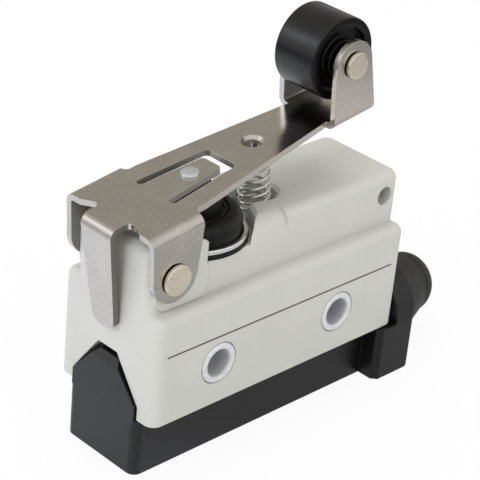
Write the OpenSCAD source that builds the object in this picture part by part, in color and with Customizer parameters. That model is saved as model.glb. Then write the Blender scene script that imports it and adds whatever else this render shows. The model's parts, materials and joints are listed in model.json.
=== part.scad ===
// Enclosed roller-lever switch: grey housing, black wiring cover with a cable bush, and a sprung
// lever with a roller that presses a sealed plunger onto a change-over contact blade.
// Millimetres, +Z up. The origin is the centre of the two mounting holes, in the middle plane.
// Along the body, X runs from the lever's pivot to the cable end.

/* [Mounting holes] */
// Distance between the two mounting holes
hole_pitch = 25.4; // [24:0.1:28]
// Radius of the hole through each mounting bush
hole_r = 2.2; // [1.8:0.05:2.4]
// Height of the holes above the housing's lower edge
hole_height = 6.95; // [6.6:0.05:7.4]
// Wall of a mounting bush
bush_wall = 0.7; // [0.5:0.05:0.8]
// How far a bush stands proud of the housing on each side
bush_proud = 0.15; // [0.1:0.05:0.6]
// Width of the flared lip beyond the bush's tube
bush_lip = 0.25; // [0.1:0.05:0.4]

/* [Housing] */
// Distance from the left hole to the housing's left end
left_margin = 12.7; // [12.3:0.1:13.2]
// Length of the housing
housing_len = 52.6; // [52:0.1:55]
// Width of the lower part of the housing
skirt_w = 21.3; // [20.8:0.1:23]
// Height of the lower part
skirt_h = 18; // [17.8:0.1:20]
// Width of the upper part
upper_w = 16.4; // [15.8:0.1:17]
// Height of the block beside the plunger, above the lower edge
block_h = 26.8; // [26.2:0.1:27.6]
// Height of the pillar that carries the lever
pillar_h = 28.1; // [27.4:0.1:28.6]
// Wall thickness
wall = 1.7; // [1.3:0.05:2]
// Radius of the lower part's upright corners
corner_r = 1.8; // [1.2:0.1:2.6]
// Radius of the upper part's upright corners
upper_corner_r = 2; // [1:0.1:2.4]
// Radius of the lower part's rounded upper edges
edge_r = 1.4; // [0.6:0.1:1.8]
// Radius of the upper part's rounded upper edges
upper_edge_r = 1.7; // [0.8:0.1:2]
// How far the lever pads stand out from the upper part
pad_t = 0.25; // [0.1:0.05:0.5]
// Length of the lever pads along the body
pad_len = 11.1; // [10:0.1:11.6]
// Radius of the spare cross hole at the far end of the block
spare_hole_r = 1.55; // [1.1:0.05:1.7]
// Distance of the spare hole from the housing's right end
spare_from_end = 3.5; // [3.2:0.05:4]
// Height of the spare hole above the housing's lower edge
spare_h = 23.1; // [22.6:0.05:23.4]
// Height of the end notch for the cover's tongue
notch_h = 9.15; // [8.4:0.05:10]
// Width of the end notch at its foot
notch_w = 14.4; // [13:0.1:15]
// Width of the end notch at its top
notch_top_w = 4.2; // [3:0.1:6]
// Height of the notch's upright foot
notch_foot = 2.15; // [1.6:0.05:3]

/* [Wiring cover] */
// Width of the cover
cover_w = 15.6; // [14.8:0.1:16.2]
// Depth of the cover below the housing
cover_depth = 9.7; // [9:0.1:12]
// Wall of the cover
cover_wall = 1.6; // [1.2:0.05:1.9]
// Width of the end flange that carries the cable bush
flange_w = 22.8; // [22:0.1:25]
// Thickness of the end flange beyond the housing
flange_t = 4.2; // [3.6:0.1:5.5]
// How far the flange reaches under the housing
flange_lap = 3.7; // [3:0.1:4.2]
// Height of the flange above the housing's lower edge
flange_h = 7.9; // [7.4:0.1:9]
// Radius of the flange's upper corners
flange_top_r = 8; // [6:0.1:8.4]
// Thickness of the sealing frame between the cover and the terminal block
gasket_t = 0.7; // [0.5:0.05:0.8]

/* [Cable bush] */
// Height of the cable's axis below the housing's lower edge
cable_drop = 2.55; // [2.3:0.05:2.8]
// Radius of the cable hole
cable_r = 3; // [2:0.05:3.3]
// Length of the tapered bush beyond the flange
bush_len = 14.5; // [11:0.1:18]
// Radius of the bush at its free end
bush_tip_r = 5.35; // [5:0.05:6]
// Rounding of the bush's free end
bush_round = 4; // [2:0.1:4.5]
// Sideways offset of the two round sides at the bush's root
bush_side = 2.65; // [1.5:0.05:3.6]

/* [Lever] */
// Upward slope of the lever at rest, in degrees
lever_rest = 9; // [8:0.1:9.4]
// Distance of the lever's pivot from the housing's left end
pivot_from_end = 3.5; // [3.3:0.05:3.6]
// Height of the pivot above the housing's lower edge
pivot_h = 23.75; // [23.55:0.05:24]
// Thickness of the lever's sheet
sheet_t = 1; // [0.8:0.05:1.1]
// Inner radius of the lever's bends
bend_in = 0.6; // [0.4:0.05:0.8]
// Height of the lever's upper face above the pivot
lever_h = 7.95; // [7.85:0.05:8.4]
// Gap between each ear and its pad
ear_gap = 0.06; // [0.04:0.01:0.12]
// Reach of the ear's bend behind the pivot
ear_back = 3.6; // [3.3:0.05:3.9]
// Reach of the ear in front of the pivot
ear_front = 6; // [5.4:0.1:6.4]
// Radius of the ear's round foot
ear_r = 4.25; // [3.6:0.05:4.4]
// Width of the arm where it leaves the ears
arm_root_w = 14.8; // [13.6:0.1:15.4]
// Distance of the arm's root from the pivot
arm_root = 8.1; // [7.4:0.1:8.6]
// Width of the arm at the fork
arm_tip_w = 8.3; // [7.8:0.1:8.8]
// Width of the stop tab at its bend
tab_w = 6.5; // [5.6:0.1:6.8]
// Width of the stop tab at its foot
tab_foot_w = 4.8; // [4:0.1:5.4]
// Length of the stop tab below the pivot
tab_drop = 9.8; // [8.4:0.1:10.4]
// Radius of the pivot pin
pivot_pin_r = 1.2; // [1:0.05:1.25]
// Radius of the pivot pin's heads
pivot_head_r = 2.4; // [2:0.05:2.8]
// Thickness of the pin heads
pin_head_t = 0.8; // [0.5:0.05:1.1]

/* [Tongue and button] */
// Distance from the pivot to the near end of the U-shaped slot
slot_start = 5.5; // [5:0.1:6]
// Distance from the pivot to the far end of the slot
slot_end = 18.2; // [17.6:0.1:19]
// Width of the slot's legs
slot_leg = 1.25; // [0.9:0.05:1.4]
// Outer width of the slot at its near end
slot_w = 8.4; // [7.8:0.1:8.8]
// Outer width of the slot at its far end
slot_end_w = 6.6; // [6:0.1:7]
// Gap between the tongue's tip and the slot's far end
tongue_gap = 1.9; // [1.4:0.1:2.3]
// Distance of the button from the pivot
button_x = 11.9; // [11.5:0.1:12.2]
// Radius of the button
button_r = 1.4; // [1.2:0.05:1.7]
// Height of the button's upper head
button_h = 0.6; // [0.3:0.05:0.7]
// Depth of the button below the lever
button_drop = 1; // [0.7:0.05:1.1]

/* [Roller] */
// Distance of the roller's axis from the pivot, along the lever
roller_x = 40.3; // [39:0.1:42]
// Height of the roller's axis above the pivot, square to the lever
roller_h = 16.75; // [16.4:0.05:18]
// Radius of the roller
roller_r = 6.55; // [5.8:0.05:6.8]
// Length of the roller's rim
roller_len = 8; // [7.4:0.1:8.4]
// Width of the roller's rim on its end faces
roller_rim = 1.4; // [1:0.05:1.8]
// Depth of the recess in the roller's end faces
roller_recess = 1.2; // [0.4:0.05:1.6]
// Radius of the roller's hub
hub_r = 3; // [2.6:0.05:3.6]
// How far the hub stands out of the rim on each side
hub_proud = 0.1; // [0.05:0.05:0.3]
// Gap between the hub and each fork ear
hub_gap = 0.85; // [0.8:0.05:1.1]
// How far the roller rests off the middle, towards the back ear
roller_shift = 0.65; // [0:0.05:0.7]
// Radius of the roller's pin
roller_pin_r = 1.5; // [1.2:0.05:1.7]
// Radius of the roller pin's heads
roller_head_r = 2.1; // [1.9:0.05:2.8]
// Half width of a fork ear at its foot
fork_r = 4.3; // [3.6:0.05:4.6]
// Radius of a fork ear's round end
fork_top_r = 3.75; // [3.2:0.05:4.2]

/* [Return spring] */
// Distance of the spring from the pivot, along the lever
spring_x = 24.45; // [24.2:0.05:24.8]
// Mean radius of the spring's coils
spring_r = 2.4; // [2.2:0.05:2.6]
// Radius of the spring's wire
wire_r = 0.22; // [0.2:0.01:0.28]
// Number of turns
spring_turns = 9; // [7:0.5:10]
// Radius of the hole above the spring
spring_hole_r = 1.3; // [1.1:0.05:1.4]
// Height of the collar that centres the spring
collar_h = 1.2; // [0.8:0.05:1.5]
// Height of the spring's seat above the housing's lower edge
seat_h = 24; // [23.8:0.05:24.9]
// Clearance around the spring in its pocket
pocket_gap = 0.65; // [0.5:0.05:0.8]
// Bevel round the mouths of the two pockets
rim_soft = 0.5; // [0.2:0.05:0.8]

/* [Plunger and boot] */
// Distance of the plunger from the housing's left end
plunger_from_end = 14.55; // [14.45:0.05:14.7]
// Height of the floor under the boot
floor_h = 23.65; // [23.1:0.05:23.8]
// Radius of the boot's flange
boot_r = 9; // [8.8:0.05:9]
// Gap between the boot's flange and its pocket
boot_gap = 0.3; // [0.2:0.05:0.4]
// How far the boot's pocket runs on towards the spring
pocket_run = 0.55; // [0.3:0.05:0.8]
// Radius of the block's upper edges beside the boot's pocket
pocket_edge_r = 3.1; // [2.2:0.1:3.6]
// Thickness of the boot's flange
boot_flange_t = 0.7; // [0.5:0.05:1.2]
// Thickness of the rubber
boot_wall = 0.9; // [0.7:0.05:1]
// Radius at which the boot's rounded shoulder turns flat
boot_shoulder_r = 6.15; // [5.8:0.05:6.6]
// Radius of the boot's cap
boot_cap_r = 4.6; // [4.3:0.05:4.8]
// Height of the clamping ring
ring_h = 0.8; // [0.5:0.05:1]
// Radial width of the clamping ring
ring_w = 0.9; // [0.6:0.05:1]
// Radius of the plunger's stem
plunger_r = 2.4; // [2:0.05:2.6]
// Gap between the button and the boot's cap
button_gap = 0.15; // [0.1:0.01:0.25]

/* [Contacts] */
// Height of the blade's upper face above the housing's lower edge
blade_h = 15.7; // [15.4:0.05:15.9]
// Thickness of the blade
blade_t = 0.4; // [0.3:0.05:0.5]
// Width of the blade and the terminals
blade_w = 5; // [4:0.1:6]
// Radius of the contacts
contact_r = 1.4; // [1:0.05:1.7]
// Height of the moving contact above and below its blade
contact_h = 0.5; // [0.4:0.05:0.55]
// Travel of the moving contact from one fixed contact to the other
contact_travel = 2.75; // [2.7:0.01:2.8]
// Thickness of the terminal strips
strip_t = 0.8; // [0.6:0.05:0.9]
// Height of the terminal block's upper face
block_top = 10.6; // [10.4:0.05:10.7]
// Height of the terminal block's lower face
block_foot = 1.1; // [0.9:0.05:1.3]
// Radius of the terminal and cover screws
screw_r = 1.5; // [1.2:0.05:1.6]
// Radius of the screw heads
screw_head_r = 2.6; // [2.2:0.05:2.8]
// Height of the screw heads
screw_head_h = 1.8; // [1.4:0.05:2]
// Reach of a terminal screw into the terminal block
screw_reach = 5; // [3.5:0.1:6]
// Width of the screw slots
screw_slot = 0.7; // [0.5:0.05:0.9]

/* [Hidden] */
$fn = 64;
// Small clearances that the pieces share
fit = 0.03;
play = 0.2;
face_gap = 0.1;
cut = 0.5;

// Colours
grey = [0.80, 0.79, 0.75];
black = [0.14, 0.14, 0.15];
rubber = [0.09, 0.09, 0.09];
steel = [0.66, 0.64, 0.61];
bright = [0.78, 0.77, 0.74];
brass = [0.78, 0.70, 0.45];
copper = [0.76, 0.53, 0.36];
silver = [0.85, 0.85, 0.84];
resin = [0.32, 0.22, 0.16];

// Housing
x_hole_l = left_margin;
x_hole_r = left_margin + hole_pitch;
skirt_y = skirt_w / 2;
upper_y = upper_w / 2;
pad_y = upper_y + pad_t;
inner_y = skirt_y - wall;
inner_x0 = wall;
inner_x1 = housing_len - wall;
upper_inner_y = upper_y - wall;
roof_h = skirt_h - wall;
floor_t = 2.1;
pillar_solid = 6;
pivot_solid = pivot_from_end + pillar_solid;
spare_x = housing_len - spare_from_end;
spare_solid = spare_x - spare_hole_r - wall;
pad_foot = skirt_h + face_gap;
pad_r = 2.2;
bush_r = hole_r + bush_wall;
recess_gap = 0.3;
recess_r = bush_r + bush_lip + recess_gap;
recess_t = 0.5;

// Lever, measured from its pivot with the plate level
bend_r = bend_in + sheet_t;
ear_y = pad_y + ear_gap + sheet_t;
lever_under = lever_h - sheet_t;
tab_in = (pivot_from_end + tab_drop * sin(lever_rest) + face_gap) / cos(lever_rest);
tab_out = tab_in + sheet_t;
fork_in = roller_len / 2 + hub_proud + hub_gap;
fork_y = fork_in + sheet_t;
fork_x0 = roller_x - fork_r;
fork_x1 = roller_x + fork_r;
relief = 0.7;
arm_tip = fork_x0 - relief;
tongue_tip = slot_end - tongue_gap;
collar_wall = 0.55;
collar_r = spring_hole_r + collar_wall;

// Plunger and boot
pocket_r = boot_r + boot_gap;
ring_in = boot_r - ring_w;
boot_body_r = ring_in - face_gap;
button_tip_h = pivot_h + button_x * sin(lever_rest) + (lever_under - button_drop) * cos(lever_rest);
boot_top = button_tip_h - button_gap;
boot_rise = 4.6;
boot_shoulder_h = floor_h + boot_rise;
boot_groove = 0.5;
boot_soft = 0.4;
cavity_top = boot_top - boot_wall;
plunger_head_r = boot_cap_r - boot_wall - play;
plunger_head_h = 1.5;
plunger_top = cavity_top - face_gap;
plunger_foot = blade_h + button_gap;

// Return spring, from its seat to the underside of the lever
spring_top = [pivot_from_end + spring_x * cos(lever_rest) - lever_under * sin(lever_rest),
              pivot_h + spring_x * sin(lever_rest) + lever_under * cos(lever_rest)];
spring_len = (spring_top[1] - seat_h) / cos(lever_rest);
spring_foot_x = spring_top[0] + spring_len * sin(lever_rest);
pocket_spring_r = spring_r + wire_r + pocket_gap;
channel_w = 2 * (spring_r + play);
crease_back = 1.1;
crease_x = spring_foot_x - crease_back;

// Cover and cable
cover_y = cover_w / 2;
cover_left = -0.45;
cover_rim = block_foot - gasket_t;
cover_r = 1.5;
flange_y = flange_w / 2;
flange_x0 = housing_len - flange_lap;
flange_gap = 0.3;
spigot_x0 = housing_len + play;
flange_x1 = spigot_x0 + flange_t;
flange_r = 0.4;
flange_bevel = 0.9;
flange_foot_r = 0.9;
spigot_wall = 2;
spigot_r = cable_r + spigot_wall;
window_side = 1;
window_y = cable_r + window_side;
window_top = -1.3;
window_sill = 0.5;
window_foot = -cable_drop - cable_r - window_sill;
bush_root_r = cover_depth - cable_drop - face_gap;
tongue_y = notch_w / 2 - play;
tongue_drop = 1.4;
tongue_h = notch_h - tongue_drop;

// Contacts and terminals
contact_from_bush = 2.2;
contact_x = x_hole_l - bush_r - contact_from_bush;
blade_lip = 0.4;
blade_x0 = contact_x - contact_r - blade_lip;
nc_back = 3.2;
nc_x = contact_x - nc_back;
no_from_bush = 4.7;
no_x = x_hole_l + bush_r + no_from_bush;
com_shift = 1.05;
com_x = (x_hole_r + bush_r + inner_x1) / 2 + com_shift;
com_gap = 0.3;
cover_cavity_x1 = com_x + com_gap;
hinge_back = 1.9;
hinge_x = com_x - hinge_back;
hinge_h = blade_h - blade_t / 2;
hinge_lip = 1;
blade_tail = 1.2;
blade_x1 = hinge_x + blade_tail;
nc_contact_h = 0.35;
nc_gap = 0.05;
nc_face = blade_h + contact_h + nc_gap;
no_face = blade_h - blade_t - contact_h - contact_travel;
plate_h = block_foot - strip_t;
plate_len = 5.4;
washer_t = 0.6;
washer_r = screw_head_r + play;
no_plate_end = no_x - strip_t + plate_len;
boss_shift = 2.1;
boss_x = (no_plate_end + x_hole_r - bush_r) / 2 + boss_shift;
boss_r = 3.4;
boss_h = 1.5;
post_wall = 0.9;
post_r = screw_r + post_wall;
post_foot = cover_wall + boss_h - cover_depth + face_gap;
blade_rivet_r = 0.8;
blade_rivet_head = 1.1;
blade_rivet_t = 0.4;

// Moves from the housing's left lower corner to the centre of the mounting holes
module in_frame() {
    translate([-(left_margin + hole_pitch / 2), 0, -hole_height]) children();
}

// Moves to the lever's pivot and tilts to the lever's rest slope
module on_lever() {
    in_frame() translate([pivot_from_end, 0, pivot_h]) rotate([0, -lever_rest, 0]) children();
}

// Solid whose section lies in X and Z, spread evenly about the middle plane
module across(width) {
    rotate([90, 0, 0]) linear_extrude(width, center = true) children();
}

// Solid whose section lies in Y and Z, from x0 to x1
module along(x0, x1) {
    translate([x0, 0, 0]) rotate([90, 0, 90]) linear_extrude(x1 - x0) children();
}

// Round bar across the body at x, z
module cross_bar(x, z, r, width) {
    translate([x, 0, z]) rotate([90, 0, 0]) cylinder(h = width, r = r, center = true);
}

// Round bar along the body
module long_bar(x0, x1, z, r) {
    translate([x0, 0, z]) rotate([0, 90, 0]) cylinder(h = x1 - x0, r = r);
}

// Box between two corners
module block(low, high) {
    translate(low) cube(high - low);
}

// Rectangle with four round corners
module round_rect(low, high, r) {
    translate([low[0] + r, low[1]]) square([high[0] - low[0] - 2 * r, high[1] - low[1]]);
    translate([low[0], low[1] + r]) square([high[0] - low[0], high[1] - low[1] - 2 * r]);
    for (x = [low[0] + r, high[0] - r], y = [low[1] + r, high[1] - r])
        translate([x, y]) circle(r);
}

// Rectangle with two round upper corners
module arch_rect(low, high, r) {
    translate(low) square([high[0] - low[0], high[1] - low[1] - r]);
    translate([low[0] + r, low[1]]) square([high[0] - low[0] - 2 * r, high[1] - low[1]]);
    for (x = [low[0] + r, high[0] - r])
        translate([x, high[1] - r]) circle(r);
}

// Block with round upright corners and round upper edges, which meet in rounded tips
module soft_block(x0, x1, half_w, z0, z1, upright_r, upper_r) {
    turn = max(upright_r, upper_r);
    along(x0 + turn, x1 - turn) arch_rect([-half_w, z0], [half_w, z1], upper_r);
    across(2 * (half_w - turn)) arch_rect([x0, z0], [x1, z1], upper_r);
    for (x = [x0 + turn, x1 - turn], y = [turn - half_w, half_w - turn])
        translate([x, y, z0]) rotate_extrude() soft_corner(turn, z1 - z0, upper_r);
}

// Half section of an upright corner with a round upper edge
module soft_corner(r, h, upper_r) {
    square([r, h - upper_r]);
    if (r > upper_r)
        square([r - upper_r, h]);
    intersection() {
        translate([r - upper_r, h - upper_r]) circle(upper_r);
        square([r, h]);
    }
}

// Grey housing: skirt, block and lever pillar in one moulding
module housing() {
    color(grey) in_frame() difference() {
        union() {
            soft_block(0, housing_len, skirt_y, 0, skirt_h, corner_r, edge_r);
            soft_block(0, housing_len, upper_y, skirt_h - wall, block_h, upper_corner_r, upper_edge_r);
            soft_block(0, pad_len, upper_y, skirt_h - wall, pillar_h, upper_corner_r, upper_edge_r);
            across(2 * pad_y) round_rect([upper_corner_r / 2, pad_foot], [pad_len, pillar_h - pad_t], pad_r);
        }
        housing_cavity();
        housing_pockets();
        housing_holes();
    }
}

module housing_cavity() {
    block([inner_x0, -inner_y, -cut], [inner_x1, inner_y, roof_h]);
    block([pivot_solid, -upper_inner_y, roof_h - cut],
          [spare_solid, upper_inner_y, floor_h - floor_t]);
    block([inner_x0, -upper_inner_y, roof_h - cut],
          [pivot_solid + cut, upper_inner_y, nc_face + nc_contact_h + strip_t + cut]);
    along(-cut, wall + cut) polygon([
        [-notch_w / 2, -cut], [notch_w / 2, -cut], [notch_w / 2, notch_foot],
        [notch_top_w / 2, notch_h], [-notch_top_w / 2, notch_h], [-notch_w / 2, notch_foot]]);
}

module housing_pockets() {
    for (x = [plunger_from_end, plunger_from_end + pocket_run])
        translate([x, 0, floor_h]) cylinder(h = pillar_h, r = pocket_r);
    translate([spring_foot_x, 0, seat_h]) cylinder(h = block_h, r = pocket_spring_r);
    pocket_rim(spring_foot_x, pocket_spring_r);
    intersection() {
        pocket_rim(plunger_from_end + pocket_run, pocket_r);
        block([plunger_from_end, -upper_w, floor_h], [housing_len, upper_w, block_h + cut]);
    }
    along(plunger_from_end, spring_foot_x) polygon([
        [-channel_w / 2, seat_h], [channel_w / 2, seat_h], [channel_w / 2, block_h - rim_soft],
        [channel_w / 2 + rim_soft + cut, block_h + cut], [-channel_w / 2 - rim_soft - cut, block_h + cut],
        [-channel_w / 2, block_h - rim_soft]]);
    for (side = [-1, 1])
        mirror_y(side) along(plunger_from_end, crease_x)
            translate([upper_y - pocket_edge_r, block_h - pocket_edge_r]) difference() {
                square(pocket_edge_r + cut);
                circle(pocket_edge_r);
            }
    translate([plunger_from_end, 0, roof_h]) cylinder(h = floor_h, r = plunger_r + 2 * fit);
}

// Bevelled mouth of a round pocket in the block's upper face
module pocket_rim(x, r) {
    translate([x, 0, block_h - rim_soft])
        cylinder(h = rim_soft + cut, r1 = r, r2 = r + rim_soft + cut);
}

module housing_holes() {
    for (x = [x_hole_l, x_hole_r]) {
        cross_bar(x, hole_height, bush_r + fit, skirt_w + 2 * cut);
        for (side = [-1, 1])
            translate([x, side * (skirt_y - recess_t / 2 + cut / 2), hole_height]) rotate([90, 0, 0])
                cylinder(h = recess_t + cut, r = recess_r, center = true);
    }
    cross_bar(pivot_from_end, pivot_h, pivot_pin_r + fit, 2 * pad_y + 2 * cut);
    cross_bar(spare_x, spare_h, spare_hole_r, upper_w + 2 * cut);
}

// Metal bush with a flared lip at each side of the housing
module mount_bush(x) {
    color(bright) in_frame() translate([x, 0, hole_height]) rotate([90, 0, 0]) difference() {
        union() {
            cylinder(h = skirt_w + 2 * bush_proud, r = bush_r, center = true);
            for (side = [-1, 1])
                translate([0, 0, side * (skirt_y + bush_proud / 2 - recess_t / 2)])
                    cylinder(h = recess_t + bush_proud, r = bush_r + bush_lip, center = true);
        }
        cylinder(h = skirt_w + 2 * (bush_proud + cut), r = hole_r, center = true);
    }
}

module mount_bush_left() {
    mount_bush(x_hole_l);
}

module mount_bush_right() {
    mount_bush(x_hole_r);
}

// Black wiring cover with its end tongue, end flange and a low boss round its screw
module wiring_cover() {
    color(black) in_frame() difference() {
        union() {
            translate([0, 0, -cover_depth]) linear_extrude(cover_depth - play)
                round_rect([cover_left, -cover_y], [flange_x0 + cover_r + face_gap, cover_y], cover_r);
            block([inner_x0 + play, -cover_y, -play - cut], [inner_x1 - play, cover_y, cover_rim]);
            cover_tongue();
            end_flange();
        }
        difference() {
            block([inner_x0 + play + cover_wall, -cover_y + cover_wall, cover_wall - cover_depth],
                  [cover_cavity_x1, cover_y - cover_wall, cover_rim + cut]);
            translate([boss_x, 0, -cover_depth]) cylinder(h = cover_wall + boss_h, r = boss_r);
        }
        block([cover_cavity_x1 - cut, -window_y, window_foot], [spigot_x0 + cut, window_y, window_top]);
        long_bar(spigot_x0, flange_x1 + cut, -cable_drop, spigot_r + fit);
        translate([boss_x, 0, -cover_depth - cut])
            cylinder(h = cover_depth + block_foot + 2 * cut, r = screw_r + fit);
        translate([boss_x, 0, -cover_depth - cut])
            cylinder(h = screw_head_h + 2 * cut, r = screw_head_r + play);
    }
}

// Tongue that fills the notch in the housing's end
module cover_tongue() {
    back = inner_x0 + play;
    low = -play - cut;
    bevel = 1;
    intersection() {
        along(cover_left, back) polygon([
            [-tongue_y, low], [tongue_y, low], [tongue_y, notch_foot - fit],
            [notch_top_w / 2, tongue_h], [-notch_top_w / 2, tongue_h], [-tongue_y, notch_foot - fit]]);
        across(notch_w) polygon([[cover_left, low], [back, low], [back, tongue_h],
            [cover_left + bevel, tongue_h], [cover_left, tongue_h - bevel]]);
    }
}

// Arched flange against the housing's right end, with a ledge below it
module end_flange() {
    intersection() {
        along(flange_x0, flange_x1) union() {
            arch_rect([-flange_y, -cover_depth], [flange_y, flange_h], flange_top_r);
        }
        translate([0, 0, -cover_depth]) linear_extrude(cover_depth + flange_h) flange_plan();
        across(2 * flange_w) flange_profile();
    }
}

// Flange seen from above: bevelled towards the cover, slightly rounded at the outer end
module flange_plan() {
    polygon([[flange_x0, flange_bevel - flange_y], [flange_x0 + flange_bevel, -flange_y],
             [flange_x1 - flange_r, -flange_y], [flange_x1, flange_r - flange_y],
             [flange_x1, flange_y - flange_r], [flange_x1 - flange_r, flange_y],
             [flange_x0 + flange_bevel, flange_y], [flange_x0, flange_y - flange_bevel]]);
    for (y = [flange_r - flange_y, flange_y - flange_r])
        translate([flange_x1 - flange_r, y]) circle(flange_r);
}

// Flange seen from the side: upright beyond the housing, with a ledge under it and a round foot
module flange_profile() {
    translate([flange_x0, -cover_depth])
        square([flange_x1 - flange_x0 - flange_foot_r, cover_depth - flange_gap]);
    translate([spigot_x0, flange_foot_r - cover_depth])
        square([flange_t, cover_depth - flange_foot_r + flange_h]);
    translate([flange_x1 - flange_foot_r, flange_foot_r - cover_depth]) circle(flange_foot_r);
}

// Rubber frame between the cover's rim and the terminal block
module cover_gasket() {
    color(rubber) in_frame() difference() {
        block([inner_x0 + 2 * play, -cover_y, cover_rim], [inner_x1 - play, cover_y, block_foot]);
        block([inner_x0 + play + cover_wall, -cover_y + cover_wall, cover_rim - cut],
              [cover_cavity_x1, cover_y - cover_wall, block_foot + cut]);
    }
}

// Slotted screw that stands on its head, with the head at the origin and the shank above it
module slotted_screw(reach) {
    difference() {
        union() {
            cylinder(h = screw_head_h, r = screw_head_r);
            translate([0, 0, screw_head_h]) cylinder(h = reach, r = screw_r);
        }
        translate([0, 0, screw_slot / 2])
            cube([2 * screw_head_r + cut, screw_slot, screw_slot + fit], center = true);
    }
}

// Screw that holds the cover to the terminal block
module cover_screw() {
    color(bright) in_frame() translate([boss_x, 0, cut - cover_depth])
        slotted_screw(cover_depth - screw_head_h - cut + block_foot + screw_reach);
}

// Tapered rubber bush for the cable, with a spigot in the flange
module cable_bush() {
    color(rubber) in_frame() difference() {
        union() {
            hull() {
                for (side = [-1, 1])
                    translate([flange_x1, side * bush_side, -cable_drop]) rotate([0, 90, 0])
                        cylinder(h = face_gap, r = bush_root_r, $fn = 48);
                translate([flange_x1 + bush_len - bush_round, 0, -cable_drop]) rotate([0, 90, 0])
                    rotate_extrude($fn = 48) bush_end();
            }
            long_bar(spigot_x0 + face_gap, flange_x1 + cut, -cable_drop, spigot_r);
        }
        long_bar(spigot_x0 - cut, flange_x1 + bush_len + cut, -cable_drop, cable_r);
    }
}

// Rounded half section of the bush's free end
module bush_end() {
    square([bush_tip_r - bush_round, bush_round]);
    intersection() {
        translate([bush_tip_r - bush_round, 0]) circle(bush_round, $fn = 48);
        translate([bush_tip_r - bush_round, 0]) square(bush_round);
    }
}

// Lever: one folded sheet with two ears, a stop tab, a tongue and a roller fork
module lever() {
    color(steel) on_lever() difference() {
        union() {
            lever_plate();
            for (side = [-1, 1]) {
                mirror_y(side) lever_ear();
                mirror_y(side) fork_ear();
            }
            lever_tab();
            translate([spring_x, 0, lever_under - collar_h]) cylinder(h = collar_h + cut, r = collar_r);
        }
        cross_bar(0, 0, pivot_pin_r + fit, 2 * ear_y + 2 * cut);
        cross_bar(roller_x, roller_h, roller_pin_r + fit, 2 * fork_y + 2 * cut);
        translate([spring_x, 0, 0]) cylinder(h = lever_h + cut, r = spring_hole_r);
        translate([spring_x, 0, lever_h - cut])
            cylinder(h = cut + fit, r1 = spring_hole_r, r2 = spring_hole_r + cut);
        translate([button_x, 0, 0]) cylinder(h = lever_h + cut, r = button_r / 2 + fit);
    }
}

module mirror_y(side) {
    scale_y = side < 0 ? 1 : 0;
    mirror([0, scale_y, 0]) children();
}

// Flat part of the sheet
module lever_plate() {
    ear_flat = ear_y - bend_r;
    fork_flat = fork_y - bend_r;
    nick_r = 0.75;
    nick_depth = 1;
    nick_end = nick_depth - ear_back;
    nick_x = nick_end - nick_r;
    nick_y = tab_w / 2 + nick_r;
    shoulder = 1.4;
    root_run = 0.6;
    fork_nick = fork_flat - 0.3;
    half = [[bend_r - tab_out, nick_y], [nick_end, nick_y], [nick_end - face_gap, nick_y + nick_r],
            [-ear_back, ear_flat - shoulder], [-ear_back, ear_flat],
            [ear_front, ear_flat], [ear_front + root_run, arm_root_w / 2], [arm_root, arm_root_w / 2],
            [arm_tip, arm_tip_w / 2], [arm_tip, fork_nick], [fork_x0, fork_nick],
            [fork_x0, fork_flat], [fork_x1, fork_flat]];
    outline = concat(half, [for (i = [len(half) - 1 : -1 : 0]) [half[i][0], -half[i][1]]]);
    translate([0, 0, lever_under]) linear_extrude(sheet_t) difference() {
        polygon(outline);
        lever_slot();
        for (side = [-1, 1]) {
            translate([nick_x, side * nick_y]) circle(nick_r);
            translate([-tab_out, side * nick_y - nick_r]) square([tab_out + nick_x, 2 * nick_r]);
        }
    }
}

// U-shaped slot that frees the tongue
module lever_slot() {
    near = slot_w / 2;
    far = slot_end_w / 2;
    soft = 0.8;
    tip_r = 0.7;
    tip_y = far - slot_leg;
    tip_x = tongue_tip - tip_r;
    difference() {
        union() {
            polygon([[slot_start, -near], [slot_end - soft, -far], [slot_end, soft - far],
                     [slot_end, far - soft], [slot_end - soft, far], [slot_start, near]]);
            for (side = [-1, 1])
                translate([slot_end - soft, side * (far - soft)]) circle(soft);
        }
        polygon([[slot_start - cut, slot_leg - near], [tip_x, -tip_y], [tongue_tip, tip_r - tip_y],
                 [tongue_tip, tip_y - tip_r], [tip_x, tip_y], [slot_start - cut, near - slot_leg]]);
        for (side = [-1, 1])
            translate([tip_x, side * (tip_y - tip_r)]) circle(tip_r);
    }
    for (side = [-1, 1])
        translate([slot_start, side * (near - slot_leg / 2)]) circle(slot_leg / 2);
}

// Quarter bend along the lever, from x0 to x1, ending in an ear at half width y; up is 1 or -1
module side_bend(x0, x1, y, up) {
    zc = up > 0 ? lever_under + bend_r : lever_h - bend_r;
    intersection() {
        along(x0, x1) translate([y - bend_r, zc]) difference() {
            circle(bend_r);
            circle(bend_in);
        }
        block([x0, y - bend_r, min(zc, zc - up * bend_r)], [x1, y, max(zc, zc - up * bend_r)]);
    }
}

// One ear that turns on the pivot
module lever_ear() {
    top = lever_h - bend_r;
    foot_x = 0.1;
    foot_h = 0.4;
    back = foot_x - ear_r;
    lean = 10;
    side_bend(-ear_back, ear_front, ear_y, -1);
    translate([0, ear_y - sheet_t / 2, 0]) across(sheet_t) {
        translate([foot_x, foot_h]) circle(ear_r);
        polygon([[-ear_back, top], [ear_front, top],
                 [foot_x + ear_r * cos(lean), foot_h - ear_r * sin(lean)], [foot_x, foot_h], [back, foot_h]]);
    }
}

// One ear of the roller fork
module fork_ear() {
    foot = lever_under + bend_r;
    side_bend(fork_x0, fork_x1, fork_y, 1);
    translate([0, fork_y - sheet_t / 2, 0]) across(sheet_t) {
        translate([roller_x, roller_h]) circle(fork_top_r);
        polygon([[fork_x0, foot], [fork_x1, foot], [roller_x + fork_top_r, roller_h],
                 [roller_x - fork_top_r, roller_h]]);
    }
}

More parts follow.
